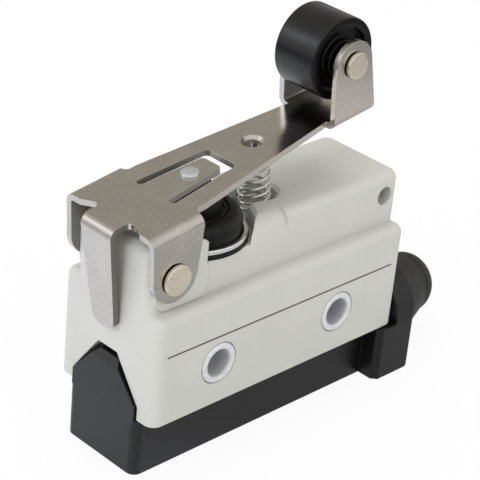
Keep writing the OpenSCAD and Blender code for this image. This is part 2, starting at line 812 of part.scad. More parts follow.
// Stop tab folded down at the lever's back
module lever_tab() {
    top = lever_h - bend_r;
    foot_r = 1.6;
    foot_y = tab_foot_w / 2;
    foot_z = foot_r - tab_drop;
    intersection() {
        across(tab_w) translate([bend_r - tab_out, top]) difference() {
            circle(bend_r);
            circle(bend_in);
        }
        block([-tab_out, -tab_w, top], [bend_r - tab_out, tab_w, lever_h]);
    }
    along(-tab_out, -tab_in) {
        polygon([[-tab_w / 2, top], [-foot_y, foot_z], [foot_r - foot_y, -tab_drop],
                 [foot_y - foot_r, -tab_drop], [foot_y, foot_z], [tab_w / 2, top]]);
        for (side = [-1, 1])
            translate([side * (foot_y - foot_r), foot_z]) circle(foot_r);
    }
}

// Pin with a low head at each end, across the body
module headed_pin(r, head_r, half_len) {
    soft = 0.3 * pin_head_t;
    side_t = pin_head_t - soft;
    rotate([90, 0, 0]) {
        cylinder(h = 2 * half_len, r = r, center = true);
        for (side = [-1, 1])
            rotate([side < 0 ? 180 : 0, 0, 0]) translate([0, 0, half_len]) {
                cylinder(h = side_t, r = head_r);
                translate([0, 0, side_t]) cylinder(h = soft, r1 = head_r, r2 = head_r - soft);
            }
    }
}

// Pin staked to the lever's ears, turning in the housing's pillar
module pivot_pin() {
    color(brass) on_lever() headed_pin(pivot_pin_r, pivot_head_r, ear_y + fit);
}

// Pin staked to the fork
module roller_pin() {
    color(brass) on_lever() translate([roller_x, 0, roller_h])
        headed_pin(roller_pin_r, roller_head_r, fork_y + fit);
}

// Domed rivet on the tongue that presses the boot's cap
module lever_button() {
    color(bright) on_lever() translate([button_x, 0, 0]) {
        translate([0, 0, lever_h]) cylinder(h = button_h, r = button_r);
        translate([0, 0, lever_under - fit]) cylinder(h = sheet_t + 2 * fit, r = button_r / 2);
        intersection() {
            translate([0, 0, lever_under - button_drop]) cylinder(h = button_drop, r = button_r);
            translate([0, 0, lever_under - button_drop + 2 * button_r]) sphere(2 * button_r);
        }
    }
}

// Turned plastic roller with a rim, a recess and a hub
module roller() {
    soft = 0.35;
    half = roller_len / 2;
    hub_half = half + hub_proud;
    bore = roller_pin_r + 2 * fit;
    section = [[bore, -hub_half], [hub_r, -hub_half], [hub_r, roller_recess - half],
               [roller_r - roller_rim, roller_recess - half], [roller_r - roller_rim, -half],
               [roller_r - soft, -half], [roller_r, soft - half]];
    upper = [for (i = [len(section) - 1 : -1 : 0]) [section[i][0], -section[i][1]]];
    color(rubber) on_lever() translate([roller_x, roller_shift, roller_h]) rotate([90, 0, 0])
        rotate_extrude() polygon(concat(section, upper));
}

// Points round the wire at a turn of the spring, u from 0 to 1 along the wire
spring_steps = 22;
spring_sides = 8;
closed_share = 0.35;
function coil_angle(u) = 360 * spring_turns * u;
function closed_rise(u) = let (e = 1 / spring_turns) u < e ? closed_share * u
    : u > 1 - e ? 1 - closed_share * (1 - u)
    : closed_share * e + (u - e) * (1 - 2 * closed_share * e) / (1 - 2 * e);
function wire_ring(u) = [for (k = [0 : spring_sides - 1]) let (
    a = coil_angle(u),
    w = 360 * k / spring_sides,
    r = spring_r + wire_r * cos(w),
    z = wire_r + (spring_len - 2 * wire_r - 2 * face_gap) * closed_rise(u) + face_gap + wire_r * sin(w))
    [r * cos(a), r * sin(a), z]];

// Coil spring between its seat and the lever
module return_spring() {
    count = ceil(spring_turns * spring_steps);
    points = [for (i = [0 : count]) each wire_ring(i / count)];
    sides = [for (i = [0 : count - 1], k = [0 : spring_sides - 1]) let (
        a = i * spring_sides + k,
        b = i * spring_sides + (k + 1) % spring_sides)
        [a, a + spring_sides, b + spring_sides, b]];
    ends = [[for (k = [0 : spring_sides - 1]) k],
            [for (k = [spring_sides - 1 : -1 : 0]) count * spring_sides + k]];
    color(bright) in_frame() translate([spring_foot_x, 0, seat_h + face_gap]) rotate([0, -lever_rest, 0])
        polyhedron(points, concat(sides, ends));
}

// Plunger that slides in the housing's floor, with its head under the boot
module plunger() {
    color(resin) in_frame() translate([plunger_from_end, 0, 0]) {
        translate([0, 0, plunger_foot]) cylinder(h = plunger_top - plunger_foot, r = plunger_r);
        translate([0, 0, plunger_top - plunger_head_h]) cylinder(h = plunger_head_h, r = plunger_head_r);
    }
}

// Rubber boot with a flange, a rounded shoulder and a cap over the plunger
module rubber_boot() {
    flange_top = floor_h + boot_flange_t;
    turn = boot_body_r - boot_shoulder_r;
    turn_step = 15;
    turn_h = boot_shoulder_h - turn;
    shoulder = [for (a = [0 : turn_step : 90]) [boot_shoulder_r + turn * cos(a), turn_h + turn * sin(a)]];
    groove_r = boot_shoulder_r - boot_soft;
    groove_foot = boot_shoulder_h - boot_groove;
    crown = 2 * boot_soft;
    inner_r = boot_body_r - boot_wall;
    wall_side = [[inner_r, floor_h], [boot_r, floor_h], [boot_r, flange_top], [boot_body_r, flange_top]];
    cap_side = [[groove_r, boot_shoulder_h], [groove_r, groove_foot], [boot_cap_r, groove_foot],
        [boot_cap_r, boot_top - crown], [boot_cap_r - crown, boot_top], [0, boot_top]];
    inner_side = [[0, cavity_top], [boot_cap_r - boot_wall, cavity_top],
        [boot_cap_r - boot_wall, groove_foot - boot_wall],
        [boot_shoulder_r - boot_wall, groove_foot - boot_wall], [inner_r, turn_h - boot_wall]];
    color(rubber) in_frame() translate([plunger_from_end, 0, 0]) rotate_extrude()
        polygon(concat(wall_side, shoulder, cap_side, inner_side));
}

// Metal ring that clamps the boot's flange
module boot_ring() {
    color(bright) in_frame() translate([plunger_from_end, 0, floor_h + boot_flange_t]) rotate_extrude()
        translate([ring_in, 0]) square([ring_w - face_gap, ring_h]);
}

// Insulating block that carries the terminals, with a post for the cover's screw
module terminal_block() {
    color(resin) in_frame() difference() {
        union() {
            block([inner_x0 + 2 * play, -inner_y + play, block_foot],
                  [inner_x1 - play, inner_y - play, block_top]);
            translate([boss_x, 0, post_foot]) cylinder(h = block_foot + cut - post_foot, r = post_r);
        }
        for (x = [x_hole_l, x_hole_r])
            cross_bar(x, hole_height, bush_r + fit, skirt_w);
        for (x = [nc_x, no_x, com_x])
            block([x - strip_t - fit, -blade_w / 2 - fit, 0], [x + fit, blade_w / 2 + fit, block_top + cut]);
        for (x = terminal_screw_x)
            translate([x, 0, 0]) cylinder(h = block_foot + screw_reach + play, r = screw_r + fit);
        translate([boss_x, 0, post_foot - cut])
            cylinder(h = block_foot - post_foot + cut + screw_reach + play, r = screw_r + fit);
    }
}

// Screw centres: closed, open and common terminal
terminal_screw_x = [nc_x + plate_len / 2 - strip_t / 2, no_x + plate_len / 2 - strip_t / 2,
                    com_x - plate_len / 2 - strip_t / 2];

// Strip of terminal metal, seen from the side, across the blade's width
module strip(low, high) {
    block([low[0], -blade_w / 2, low[1]], [high[0], blade_w / 2, high[1]]);
}

// Foot plate of a terminal with its screw hole
module foot_plate(x0, x1, screw_x) {
    difference() {
        strip([x0, plate_h], [x1, block_foot]);
        translate([screw_x, 0, 0]) cylinder(h = block_foot + cut, r = screw_r + fit);
    }
}

// Common terminal, whose upper arm carries the blade
module common_terminal() {
    arm = hinge_h - blade_t / 2 - face_gap;
    color(brass) in_frame() difference() {
        union() {
            foot_plate(com_x - plate_len, com_x, terminal_screw_x[2]);
            strip([com_x - strip_t, plate_h], [com_x, arm]);
            strip([hinge_x - hinge_lip, arm - strip_t], [com_x, arm]);
        }
        translate([hinge_x, 0, arm - 2 * strip_t]) cylinder(h = 3 * strip_t, r = blade_rivet_r + fit);
    }
}

// Terminal under the moving contact
module open_terminal() {
    color(brass) in_frame() {
        foot_plate(no_x - strip_t, no_x - strip_t + plate_len, terminal_screw_x[1]);
        strip([no_x - strip_t, plate_h], [no_x, block_top + strip_t]);
        strip([blade_x0, block_top], [no_x, block_top + strip_t]);
    }
}

// Terminal above the moving contact
module closed_terminal() {
    arm = nc_face + nc_contact_h;
    color(brass) in_frame() {
        foot_plate(nc_x - strip_t, nc_x - strip_t + plate_len, terminal_screw_x[0]);
        strip([nc_x - strip_t, plate_h], [nc_x, arm + strip_t]);
        strip([nc_x - strip_t, arm], [contact_x + contact_r + blade_lip, arm + strip_t]);
    }
}

module open_contact() {
    color(silver) in_frame() translate([contact_x, 0, block_top + strip_t])
        cylinder(h = no_face - block_top - strip_t, r = contact_r);
}

module closed_contact() {
    color(silver) in_frame() translate([contact_x, 0, nc_face]) cylinder(h = nc_contact_h, r = contact_r);
}

// Springy blade that the plunger bends down
module contact_blade() {
    color(copper) in_frame() difference() {
        strip([blade_x0, blade_h - blade_t], [blade_x1, blade_h]);
        translate([contact_x, 0, blade_h - 2 * blade_t]) cylinder(h = 3 * blade_t, r = contact_r / 2 + fit);
        translate([hinge_x, 0, blade_h - 2 * blade_t])
            cylinder(h = 3 * blade_t, r = blade_rivet_r + 2 * face_gap);
    }
}

module moving_contact() {
    color(silver) in_frame() translate([contact_x, 0, 0]) {
        translate([0, 0, blade_h]) cylinder(h = contact_h, r = contact_r);
        translate([0, 0, blade_h - blade_t - contact_h]) cylinder(h = contact_h, r = contact_r);
        translate([0, 0, blade_h - blade_t - contact_h]) cylinder(h = blade_t + contact_h, r = contact_r / 2);
    }
}

// Rivet that holds the blade to the common terminal
module blade_rivet() {
    low = hinge_h - blade_t / 2 - face_gap - strip_t;
    color(copper) in_frame() translate([hinge_x, 0, 0]) {
        translate([0, 0, low - blade_rivet_t]) cylinder(h = blade_rivet_t, r = blade_rivet_head);
        translate([0, 0, low - blade_rivet_t])
            cylinder(h = blade_h + 2 * face_gap - low + blade_rivet_t, r = blade_rivet_r);
        translate([0, 0, blade_h + face_gap]) cylinder(h = blade_rivet_t, r = blade_rivet_head);
    }
}

module terminal_screws() {
    color(bright) in_frame() for (x = terminal_screw_x)
        translate([x, 0, plate_h - washer_t - screw_head_h]) slotted_screw(washer_t + strip_t + screw_reach);
}

module terminal_washers() {
    color(brass) in_frame() for (x = terminal_screw_x)
        translate([x, 0, plate_h - washer_t]) difference() {
            cylinder(h = washer_t, r = washer_r);
            translate([0, 0, -cut]) cylinder(h = washer_t + 2 * cut, r = screw_r + fit);
        }
}

housing();
mount_bush_left();
mount_bush_right();
wiring_cover();
cover_gasket();
cover_screw();
cable_bush();
lever();
pivot_pin();
lever_button();
return_spring();
roller();
roller_pin();
plunger();
rubber_boot();
boot_ring();
terminal_block();
common_terminal();
open_terminal();
closed_terminal();
open_contact();
closed_contact();
contact_blade();
moving_contact();
blade_rivet();
terminal_screws();
terminal_washers();
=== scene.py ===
"""Looks of the micro switch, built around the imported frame.

Sizes are written in millimetres and turned to metres by MM. The frame's X runs along the body from the
lever's pivot to the cable end, Y from front to back and Z up; the origin lies between the mounting holes.
"""
import json
import math

import bmesh
import bpy
from mathutils import Matrix, Vector


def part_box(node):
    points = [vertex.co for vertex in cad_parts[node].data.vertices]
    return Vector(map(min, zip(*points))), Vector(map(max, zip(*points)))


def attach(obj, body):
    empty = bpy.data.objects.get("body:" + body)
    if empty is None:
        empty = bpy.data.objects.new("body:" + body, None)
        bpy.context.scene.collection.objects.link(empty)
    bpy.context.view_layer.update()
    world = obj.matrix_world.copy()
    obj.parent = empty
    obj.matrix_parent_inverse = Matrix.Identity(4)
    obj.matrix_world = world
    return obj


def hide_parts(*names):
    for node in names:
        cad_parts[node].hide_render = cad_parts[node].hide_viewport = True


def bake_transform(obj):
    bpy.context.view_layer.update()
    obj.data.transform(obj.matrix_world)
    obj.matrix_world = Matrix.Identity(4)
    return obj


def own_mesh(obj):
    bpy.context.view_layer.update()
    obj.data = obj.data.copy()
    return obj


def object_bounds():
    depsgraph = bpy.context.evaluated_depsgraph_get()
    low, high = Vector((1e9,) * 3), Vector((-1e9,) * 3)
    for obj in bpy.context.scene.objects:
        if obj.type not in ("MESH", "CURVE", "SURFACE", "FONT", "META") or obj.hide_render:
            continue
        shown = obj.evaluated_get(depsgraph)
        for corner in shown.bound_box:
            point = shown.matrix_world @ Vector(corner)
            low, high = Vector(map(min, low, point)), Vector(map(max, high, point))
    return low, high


MM = 0.001
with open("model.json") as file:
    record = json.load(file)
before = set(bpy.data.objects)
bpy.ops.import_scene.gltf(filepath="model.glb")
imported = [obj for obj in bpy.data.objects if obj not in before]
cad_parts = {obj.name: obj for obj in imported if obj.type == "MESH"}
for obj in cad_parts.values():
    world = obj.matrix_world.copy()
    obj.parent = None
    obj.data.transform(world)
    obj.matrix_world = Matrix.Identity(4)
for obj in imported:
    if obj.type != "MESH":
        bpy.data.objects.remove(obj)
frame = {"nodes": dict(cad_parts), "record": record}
cad_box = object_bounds()
record = frame["record"]
nodes = frame["nodes"]

ALONG_Y = Vector((0, 1, 0))
ALONG_Z = Vector((0, 0, 1))
LEVER_REST = math.radians(9)  # slope of the lever at rest
LEVER_ALONG = Vector((math.cos(LEVER_REST), 0, math.sin(LEVER_REST)))
LEVER_UP = Vector((-math.sin(LEVER_REST), 0, math.cos(LEVER_REST)))
LEVER_TOP = 7.95  # height of the lever's upper face above its pivot
SHEET = 1.0  # thickness of the lever's sheet


# Places read from the frame

def middle(name):
    """Centre of a node's box, in metres."""
    low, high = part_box(name)
    return (low + high) / 2


def joint_place(name):
    """Point on a joint's axis, in metres."""
    found = [joint for joint in record["behaviour"]["joints"] if joint["name"] == name]
    return Vector(found[0]["pos_m"])


# Shapes

def fillet(points, radius, closed=True, steps=5):
    """Rounds the corners of an outline; a point may carry its own radius as a third number."""
    most = 0.48  # share of a side that one corner may take
    count = len(points)
    rounded = []
    for i, point in enumerate(points):
        corner = Vector(point[:2])
        size = point[2] if len(point) > 2 else radius
        if size == 0 or (not closed and i in (0, count - 1)):
            rounded.append(corner)
            continue
        back = Vector(points[i - 1][:2]) - corner
        ahead = Vector(points[(i + 1) % count][:2]) - corner
        reach = size / math.tan(back.angle(ahead) / 2)
        reach = min(reach, most * back.length, most * ahead.length)
        start = corner + back.normalized() * reach
        end = corner + ahead.normalized() * reach
        for step in range(steps + 1):
            t = step / steps
            rounded.append((1 - t) ** 2 * start + 2 * t * (1 - t) * corner + t ** 2 * end)
    return rounded


def mirrored_ends(side):
    """Outline points of one end, followed by the same points at the other end."""
    return side + [(radius, -height, size) for radius, height, size in reversed(side)]


def mesh_piece(name, bm, sharp_angle=40):
    """Turns a bmesh into a smooth-shaded object with hard edges above the given angle."""
    bmesh.ops.recalc_face_normals(bm, faces=bm.faces)
    mesh = bpy.data.meshes.new(name)
    bm.to_mesh(mesh)
    bm.free()
    mesh.polygons.foreach_set("use_smooth", [True] * len(mesh.polygons))
    mesh.set_sharp_from_angle(angle=math.radians(sharp_angle))
    piece = bpy.data.objects.new(name, mesh)
    bpy.context.scene.collection.objects.link(piece)
    return piece


def skin(rings, closed):
    """Joins rings of points with quads into a bmesh; a ring of one point closes to a tip."""
    bm = bmesh.new()
    made = [[bm.verts.new(point) for point in ring] for ring in rings]
    pairs = list(zip(made, made[1:]))
    if closed:
        pairs.append((made[-1], made[0]))
    for low, high in pairs:
        count = max(len(low), len(high))
        if count == 1:
            continue
        for k in range(count):
            n = (k + 1) % count
            corners = [low[k % len(low)], low[n % len(low)], high[n % len(high)], high[k % len(high)]]
            bm.faces.new(list(dict.fromkeys(corners)))
    return bm


def capped(rings):
    """Skin over rings that closes to a point in the middle of the first and the last ring."""
    tips = [[sum(ring, Vector()) / len(ring)] for ring in (rings[0], rings[-1])]
    return skin([tips[0]] + rings + [tips[1]], closed=False)


def standing(place, axis):
    """Matrix that moves the origin to a place and turns Z along an axis."""
    return Matrix.Translation(place) @ axis.to_track_quat("Z", "Y").to_matrix().to_4x4()


def aimed(place, target):
    """Matrix of a lamp or camera that looks from a place at a target."""
    return Matrix.Translation(place) @ (target - place).to_track_quat("-Z", "Y").to_matrix().to_4x4()


def turned(name, outline, centre, axis, closed=True, segments=96):
    """Body of revolution; the outline holds (radius, height) pairs in millimetres along the axis."""
    on_axis = 1e-4  # a smaller radius is a point
    place = standing(centre, axis)
    rings = []
    for radius, height in outline:
        if radius < on_axis:
            rings.append([place @ Vector((0, 0, height * MM))])
            continue
        ring = []
        for k in range(segments):
            angle = 2 * math.pi * k / segments
            ring.append(place @ (Vector((radius * math.cos(angle), radius * math.sin(angle), height)) * MM))
        rings.append(ring)
    return mesh_piece(name, skin(rings, closed))


def replace(piece, node, body, slot, finish=None):
    """Puts a piece in the place of a CAD node, on that node's body and with its slot's or its own finish."""
    piece.data.materials.append(materials[finish or slot])
    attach(piece, body)
    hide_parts(node)
    return piece


def second_finish(piece, finish, chosen):
    """Gives a piece's chosen faces another finish."""
    piece.data.materials.append(materials[finish])
    for face in piece.data.polygons:
        if chosen(face):
            face.material_index = 1


# Material nodes

def feed(tree, socket, value):
    """Sets a socket to a value or links another socket to it."""
    if isinstance(value, bpy.types.NodeSocket):
        tree.links.new(value, socket)
    else:
        socket.default_value = value


def add(tree, kind, inputs=None, **settings):
    """Adds a node; inputs are values or the sockets that feed it."""
    made = tree.nodes.new(kind)
    for name, value in settings.items():
        setattr(made, name, value)
    for name, value in (inputs or {}).items():
        feed(tree, made.inputs[name], value)
    return made


def noise(tree, place, size, detail=3.0, roughness=0.55):
    """Noise whose features are about the given size in millimetres."""
    inputs = {"Vector": place, "Scale": 1 / (size * MM), "Detail": detail, "Roughness": roughness}
    return add(tree, "ShaderNodeTexNoise", inputs).outputs["Fac"]


def spread(tree, value, low, high, new_low, new_high):
    """Maps a value's range to a new range, clamped."""
    inputs = {"Value": value, "From Min": low, "From Max": high, "To Min": new_low, "To Max": new_high}
    return add(tree, "ShaderNodeMapRange", inputs).outputs["Result"]


def blend(tree, share, first, second, mode="MIX"):
    """Mixes two colours."""
    made = add(tree, "ShaderNodeMix", data_type="RGBA", blend_type=mode)
    share_socket, first_socket, second_socket, result = 0, 6, 7, 2
    for index, value in ((share_socket, share), (first_socket, first), (second_socket, second)):
        feed(tree, made.inputs[index], value)
    return made.outputs[result]


def calc(tree, operation, first, second=0.0, third=0.0):
    """Result of a sum on values or sockets."""
    return add(tree, "ShaderNodeMath", {0: first, 1: second, 2: third}, operation=operation).outputs["Value"]


def measure(tree, operation, first, second=(0, 0, 0)):
    """Number taken from two vectors, such as their dot product."""
    return add(tree, "ShaderNodeVectorMath", {0: first, 1: second}, operation=operation).outputs["Value"]


def parts(tree, vector):
    """X, Y and Z of a vector, as sockets."""
    return add(tree, "ShaderNodeSeparateXYZ", {"Vector": vector}).outputs


def facing(tree):
    """Surface normal in the object's own axes."""
    return add(tree, "ShaderNodeTexCoord").outputs["Normal"]


def opaque(colour):
    """Colour as RGBA."""
    return colour + (1.0,)


def scaled(colour, factor):
    """Colour made lighter or darker, as RGBA."""
    return opaque(tuple(min(1.0, part * factor) for part in colour))


def start_material(name):
    """New node material with its tree, shader and object coordinates."""
    material = bpy.data.materials.new(name)
    material.use_nodes = True
    tree = material.node_tree
    shader = tree.nodes["Principled BSDF"]
    place = add(tree, "ShaderNodeTexCoord").outputs["Object"]
    return material, tree, shader, place


def finish_surface(tree, shader, colour, roughness, heights, normal=None):
    """Feeds the shader; heights are (height, distance in millimetres, strength) bump layers."""
    tree.links.new(colour, shader.inputs["Base Color"])
    tree.links.new(roughness, shader.inputs["Roughness"])
    for height, distance, strength in heights:
        inputs = {"Height": height, "Distance": distance * MM, "Strength": strength}
        if normal:
            inputs["Normal"] = normal
        normal = add(tree, "ShaderNodeBump", inputs).outputs["Normal"]
    tree.links.new(normal, shader.inputs["Normal"])


def soft_edges(tree, radius):
    """Normal that turns smoothly over edges, and the share of edge at each point."""
    plain_lean, edge_lean = 0.985, 0.8
    soft = add(tree, "ShaderNodeBevel", {"Radius": radius * MM}, samples=6).outputs["Normal"]
    face = add(tree, "ShaderNodeNewGeometry").outputs["Normal"]
    lean = measure(tree, "DOT_PRODUCT", soft, face)
    return soft, spread(tree, lean, plain_lean, edge_lean, 0, 1)


# Finishes

def moulded(name, colour, roughness, grain, depth, worn, mottle=0.05, gloss=0.5, edge=0.15, dusty=None,
            turned_marks=0.0):
    """Moulded plastic or rubber: fine tool grain, faint flow mottle, dust and rubbed edges.

    Grain and depth are the size and the height of the tool marks, edge is the width of the edges that are
    rubbed to the worn colour, and turned_marks is the depth of shallow rings round Y, in millimetres.
    """
    flow_size, flow_depth, dust_size, ring_pitch = 9, 0.05, 0.6, 0.12
    material, tree, shader, place = start_material(name)
    flow = noise(tree, place, flow_size, detail=4)
    fine = noise(tree, place, grain, detail=2)
    dust = noise(tree, place, dust_size, detail=6, roughness=0.7)
    flow_share = spread(tree, flow, 0.3, 0.7, 0, 1)
    tone = blend(tree, flow_share, scaled(colour, 1 - mottle), scaled(colour, 1 + mottle))
    if dusty:
        tone = blend(tree, spread(tree, dust, 0.52, 0.7, 0, 0.6), tone, opaque(dusty))
    else:
        tone = blend(tree, spread(tree, dust, 0.6, 0.7, 0, 0.35), tone, scaled(colour, 1 + 3 * mottle))
    soft, edge_share = soft_edges(tree, edge)
    tone = blend(tree, calc(tree, "MULTIPLY", edge_share, dust), tone, opaque(worn))
    rough = spread(tree, dust, 0.3, 0.75, roughness - 0.06, roughness + 0.08)
    layers = [(fine, depth, 0.5), (flow, flow_depth, 0.15)]
    if turned_marks:
        inputs = {"W": parts(tree, place)["Y"], "Scale": 1 / (ring_pitch * MM), "Detail": 3.0}
        rings = add(tree, "ShaderNodeTexNoise", inputs, noise_dimensions="1D").outputs["Fac"]
        layers.append((rings, turned_marks, 1.0))
    finish_surface(tree, shader, tone, rough, layers, soft)
    shader.inputs["IOR"].default_value = 1.5
    shader.inputs["Specular IOR Level"].default_value = gloss
    return material


def cut_walls_and_ear_shade(tree, place):
    """Dull walls of the lever, with painted shade on the insides of the ears: slot, spring hole and sides of
    the tab are dull, and the insides of the ears are darkened where shade falls.

    On a slot or hole wall the normal's part along LEVER_UP is below upright, and on a side its part along Y
    is above square. Places are in millimetres.
    """
    slot_x, slot_half, slot_y, tab_x, margin = -8.5, 12.0, 5.0, -23.5, 0.05
    wall_dullness, ear_painted_shade, upright, square = 0.5, 0.7, 0.3, 0.85
    spot = parts(tree, place)
    normal = facing(tree)
    across = parts(tree, normal)["Y"]
    rise = measure(tree, "DOT_PRODUCT", place, LEVER_UP)
    tilt = calc(tree, "ABSOLUTE", measure(tree, "DOT_PRODUCT", normal, LEVER_UP))
    sheet_middle = joint_place("lever_pivot").dot(LEVER_UP) + (LEVER_TOP - SHEET / 2) * MM
    walls = calc(tree, "MULTIPLY", calc(tree, "LESS_THAN", tilt, upright), wall_dullness)
    for value, centre_at, half in ((rise, sheet_middle, (SHEET / 2 + margin) * MM),
                                   (spot["X"], slot_x * MM, slot_half * MM),
                                   (spot["Y"], 0.0, slot_y * MM)):
        walls = calc(tree, "MULTIPLY", walls, calc(tree, "COMPARE", value, centre_at, half))
    side = calc(tree, "GREATER_THAN", calc(tree, "ABSOLUTE", across), square)
    tab = calc(tree, "MULTIPLY", calc(tree, "LESS_THAN", spot["X"], tab_x * MM), side)
    tab = calc(tree, "MULTIPLY", tab, calc(tree, "COMPARE", spot["Y"], 0.0, slot_y * MM))
    inward = calc(tree, "LESS_THAN", calc(tree, "MULTIPLY", spot["Y"], across), 0.0)
    # Insides of the ears: painted shade, a dark tone where shade falls between the ears under the plate.
    inner = calc(tree, "MULTIPLY", calc(tree, "MULTIPLY", side, inward), ear_painted_shade)
    return calc(tree, "MAXIMUM", calc(tree, "MAXIMUM", walls, inner), tab)


def folded(tree):
    """One on the lever's bends, where the sheet's grain opens and dulls, else zero."""
    middle_tilt, half_range = 0.55, 0.42
    tilt = measure(tree, "DOT_PRODUCT", facing(tree), LEVER_UP)
    return calc(tree, "COMPARE", tilt, middle_tilt, half_range)


def metal(name, colour, roughness, speck, depth, contrast, scratch=0.25, metallic=1.0, edge=0.06, cut_and_shade_tone=None):
    """Metal with a tumbled speckle, hairline scratches and polished edges.

    Speck and depth are the size and the height of the speckle and edge is the width of the polished edges, in
    millimetres. The lever alone has a wall tone: the colour of its dull slot, hole and tab walls and of the
    painted shade on the insides of its ears.
    """
    broad_size, line_size, line_depth, dim, shine = 5, 0.09, 0.012, 0.88, 1.15
    material, tree, shader, place = start_material(name)
    shader.inputs["Metallic"].default_value = metallic
    fine = noise(tree, place, speck, detail=5, roughness=0.65)
    broad = noise(tree, place, broad_size, detail=3)
    stretched = add(tree, "ShaderNodeMapping", {"Vector": place, "Scale": (0.06, 1.0, 1.0),
                                                "Rotation": (0.3, 0.5, 0.35)}).outputs["Vector"]
    lines = noise(tree, stretched, line_size, detail=2)
    fine_share = spread(tree, fine, 0.32, 0.68, 0, 1)
    tone = blend(tree, fine_share, scaled(colour, 1 - contrast), scaled(colour, 1 + contrast))
    tone = blend(tree, spread(tree, broad, 0.35, 0.65, 0, 0.6), tone, scaled(colour, dim))
    soft, edge_share = soft_edges(tree, edge)
    tone = blend(tree, edge_share, tone, scaled(colour, shine))
    rough = spread(tree, fine, 0.3, 0.7, 0.8 * roughness, 1.3 * roughness)
    if cut_and_shade_tone:
        wall_roughness, wall_metallic, fold_roughness, hole_reach = 0.35, 0.2, 0.2, 7.5
        walls = cut_walls_and_ear_shade(tree, place)
        # Dull walls, and painted shade on the insides of the ears, take the wall tone.
        tone = blend(tree, walls, tone, opaque(cut_and_shade_tone))
        rough = calc(tree, "MULTIPLY_ADD", walls, wall_roughness, rough)
        rough = calc(tree, "MULTIPLY_ADD", folded(tree), fold_roughness, rough)
        tree.links.new(spread(tree, walls, 0, 1, metallic, wall_metallic), shader.inputs["Metallic"])
        from_hole = measure(tree, "DISTANCE", place, middle("return_spring"))
        face = add(tree, "ShaderNodeNewGeometry").outputs["Normal"]
        soft = blend(tree, calc(tree, "LESS_THAN", from_hole, hole_reach * MM), soft, face)
    finish_surface(tree, shader, tone, rough, [(fine, depth, 0.6), (lines, line_depth, scratch)], soft)
    return material


BLACK = (0.004, 0.004, 0.0045)

moulded_looks = {
    "grey_plastic": dict(colour=(0.595, 0.595, 0.545), roughness=0.40, grain=0.16, depth=0.015,
                         worn=(0.68, 0.67, 0.63), mottle=0.02, edge=0.22),
    "black_plastic": dict(colour=BLACK, roughness=0.36, grain=0.18, depth=0.02, worn=(0.02, 0.02, 0.02),
                          mottle=0.12, gloss=0.40, edge=0.2),
    "black_rubber": dict(colour=(0.004, 0.004, 0.004), roughness=0.46, grain=0.25, depth=0.03,
                         worn=(0.012, 0.012, 0.012), mottle=0.12, gloss=0.22, edge=0.1,
                         dusty=(0.045, 0.036, 0.03)),
    "roller_plastic": dict(colour=BLACK, roughness=0.25, grain=0.2, depth=0.01, worn=(0.015, 0.015, 0.015),
                           mottle=0.12, gloss=0.40, edge=0.1, turned_marks=0.014),
    "brown_plastic": dict(colour=(0.12, 0.07, 0.04), roughness=0.45, grain=0.2, depth=0.02,
                          worn=(0.2, 0.13, 0.08), mottle=0.08),
    "roller_ends": dict(colour=BLACK, roughness=0.25, grain=0.2, depth=0.01, worn=(0.015, 0.015, 0.015),
                        mottle=0.12, gloss=0.18, edge=0.1),
    # near-black painted shade for the gap behind the pin heads
    "painted_gap_shade": dict(colour=(0.012, 0.010, 0.009), roughness=0.7, grain=0.2, depth=0.02,
                      worn=(0.02, 0.02, 0.02), mottle=0.1, gloss=0.2),
    "bush_rubber": dict(colour=(0.010, 0.0092, 0.0084), roughness=0.46, grain=0.25, depth=0.03,
                        worn=(0.02, 0.02, 0.02), mottle=0.12, gloss=0.3, edge=0.1),
    "printed_line": dict(colour=(0.07, 0.06, 0.05), roughness=0.5, grain=0.1, depth=0.004,
                         worn=(0.1, 0.09, 0.08), mottle=0.1, edge=0.02),
}
metal_looks = {
    # The lever's wall tone darkens its dull walls and paints shade on the insides of its ears.
    "lever_steel": dict(colour=(0.54, 0.51, 0.462), roughness=0.17, speck=0.3, depth=0.0014, contrast=0.2,
                        scratch=0.08, edge=0.14, cut_and_shade_tone=(0.16, 0.15, 0.135)),
    "spring_steel": dict(colour=(0.74, 0.73, 0.70), roughness=0.14, speck=0.25, depth=0.003, contrast=0.08),
    "bright_steel": dict(colour=(0.86, 0.86, 0.85), roughness=0.2, speck=0.3, depth=0.003, contrast=0.08),
    "pale_pin": dict(colour=(0.86, 0.78, 0.645), roughness=0.34, speck=0.5, depth=0.006, contrast=0.14),
    "terminal_brass": dict(colour=(0.62, 0.50, 0.26), roughness=0.3, speck=0.4, depth=0.004, contrast=0.1),
    "blade_copper": dict(colour=(0.60, 0.36, 0.20), roughness=0.28, speck=0.4, depth=0.004, contrast=0.1),
    "contact_metal": dict(colour=(0.75, 0.75, 0.74), roughness=0.24, speck=0.3, depth=0.004, contrast=0.08),
    "dull_bore": dict(colour=(0.60, 0.60, 0.62), roughness=0.55, speck=0.3, depth=0.004, contrast=0.08,
                      metallic=0.25),
    "tinned_lip": dict(colour=(0.83, 0.83, 0.845), roughness=0.26, speck=2.0, depth=0.0002, contrast=0.01,
                       scratch=0.002, metallic=0.4, edge=0.02),
    "zinc_plate": dict(colour=(0.78, 0.80, 0.84), roughness=0.42, speck=0.3, depth=0.006, contrast=0.1),
}
materials = {name: moulded(name, **look) for name, look in moulded_looks.items()}
materials.update({name: metal(name, **look) for name, look in metal_looks.items()})


# CAD nodes that stay get their finish

for subpart in record["subparts"]:
    part = nodes[subpart["node"]]
    part.data.materials.clear()
    part.data.materials.append(materials[subpart["material_slot"]])


# Mounting bushes: eyelets with a rolled lip

